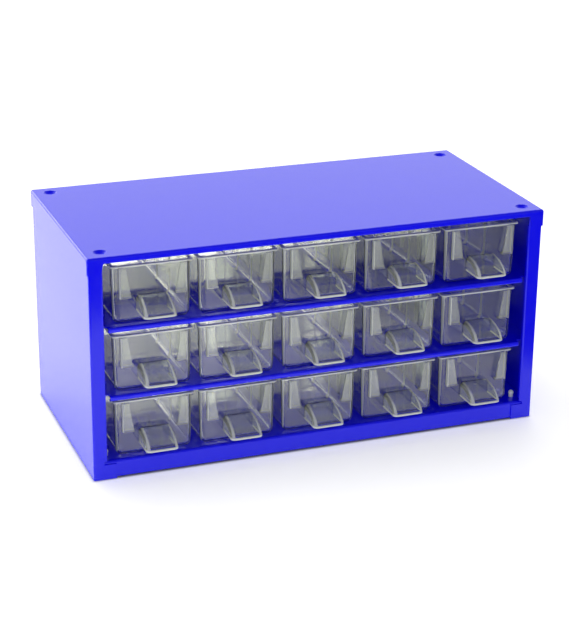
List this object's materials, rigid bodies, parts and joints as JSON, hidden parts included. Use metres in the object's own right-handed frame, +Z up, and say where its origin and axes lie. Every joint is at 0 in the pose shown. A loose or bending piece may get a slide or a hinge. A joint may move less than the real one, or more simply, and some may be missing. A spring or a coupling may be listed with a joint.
{
  "type": "parts organizer",
  "caption": "Tabletop small-parts cabinet: a folded steel case, open at the back, with clear sliding drawers that have cup handles, label holders and divider slots.",
  "frame": {"origin": "on the table, under the middle of the cabinet's bounding box with the drawers shut", "axes": "+X to the right of somebody facing the drawers, along the cabinet's width; +Y from the drawer fronts to the back; +Z up"},
  "size_m": [0.306, 0.1624, 0.1476],
  "materials": {
    "steel_blue": "glossy powder coat",
    "clear_styrene": "clear glossy moulding",
    "nylon_white": "satin"
  },
  "bodies": {
    "case": {"top_cover": "steel_blue", "side_left": "steel_blue", "side_right": "steel_blue", "base_panel": "steel_blue", "shelf_upper": "steel_blue", "shelf_lower": "steel_blue", "guides_upper": "steel_blue", "guides_middle": "steel_blue", "guides_lower": "steel_blue", "foot_front_left": "nylon_white", "foot_front_right": "nylon_white", "foot_rear_left": "nylon_white", "foot_rear_right": "nylon_white"},
    "drawer_row1_col1": {"drawer_row1_col1": "clear_styrene"},
    "drawer_row1_col2": {"drawer_row1_col2": "clear_styrene"},
    "drawer_row1_col3": {"drawer_row1_col3": "clear_styrene"},
    "drawer_row1_col4": {"drawer_row1_col4": "clear_styrene"},
    "drawer_row1_col5": {"drawer_row1_col5": "clear_styrene"},
    "drawer_row2_col1": {"drawer_row2_col1": "clear_styrene"},
    "drawer_row2_col2": {"drawer_row2_col2": "clear_styrene"},
    "drawer_row2_col3": {"drawer_row2_col3": "clear_styrene"},
    "drawer_row2_col4": {"drawer_row2_col4": "clear_styrene"},
    "drawer_row2_col5": {"drawer_row2_col5": "clear_styrene"},
    "drawer_row3_col1": {"drawer_row3_col1": "clear_styrene"},
    "drawer_row3_col2": {"drawer_row3_col2": "clear_styrene"},
    "drawer_row3_col3": {"drawer_row3_col3": "clear_styrene"},
    "drawer_row3_col4": {"drawer_row3_col4": "clear_styrene"},
    "drawer_row3_col5": {"drawer_row3_col5": "clear_styrene"}
  },
  "joints": [
    {"name": "drawer_row1_col1_slide", "type": "slide", "parent": "case", "child": "drawer_row1_col1", "axis": [0, -1, 0], "range_m": [0, 0.15]},
    {"name": "drawer_row1_col2_slide", "type": "slide", "parent": "case", "child": "drawer_row1_col2", "axis": [0, -1, 0], "range_m": [0, 0.15]},
    {"name": "drawer_row1_col3_slide", "type": "slide", "parent": "case", "child": "drawer_row1_col3", "axis": [0, -1, 0], "range_m": [0, 0.15]},
    {"name": "drawer_row1_col4_slide", "type": "slide", "parent": "case", "child": "drawer_row1_col4", "axis": [0, -1, 0], "range_m": [0, 0.15]},
    {"name": "drawer_row1_col5_slide", "type": "slide", "parent": "case", "child": "drawer_row1_col5", "axis": [0, -1, 0], "range_m": [0, 0.15]},
    {"name": "drawer_row2_col1_slide", "type": "slide", "parent": "case", "child": "drawer_row2_col1", "axis": [0, -1, 0], "range_m": [0, 0.15]},
    {"name": "drawer_row2_col2_slide", "type": "slide", "parent": "case", "child": "drawer_row2_col2", "axis": [0, -1, 0], "range_m": [0, 0.15]},
    {"name": "drawer_row2_col3_slide", "type": "slide", "parent": "case", "child": "drawer_row2_col3", "axis": [0, -1, 0], "range_m": [0, 0.15]},
    {"name": "drawer_row2_col4_slide", "type": "slide", "parent": "case", "child": "drawer_row2_col4", "axis": [0, -1, 0], "range_m": [0, 0.15]},
    {"name": "drawer_row2_col5_slide", "type": "slide", "parent": "case", "child": "drawer_row2_col5", "axis": [0, -1, 0], "range_m": [0, 0.15]},
    {"name": "drawer_row3_col1_slide", "type": "slide", "parent": "case", "child": "drawer_row3_col1", "axis": [0, -1, 0], "range_m": [0, 0.15]},
    {"name": "drawer_row3_col2_slide", "type": "slide", "parent": "case", "child": "drawer_row3_col2", "axis": [0, -1, 0], "range_m": [0, 0.15]},
    {"name": "drawer_row3_col3_slide", "type": "slide", "parent": "case", "child": "drawer_row3_col3", "axis": [0, -1, 0], "range_m": [0, 0.15]},
    {"name": "drawer_row3_col4_slide", "type": "slide", "parent": "case", "child": "drawer_row3_col4", "axis": [0, -1, 0], "range_m": [0, 0.15]},
    {"name": "drawer_row3_col5_slide", "type": "slide", "parent": "case", "child": "drawer_row3_col5", "axis": [0, -1, 0], "range_m": [0, 0.15]}
  ]
}
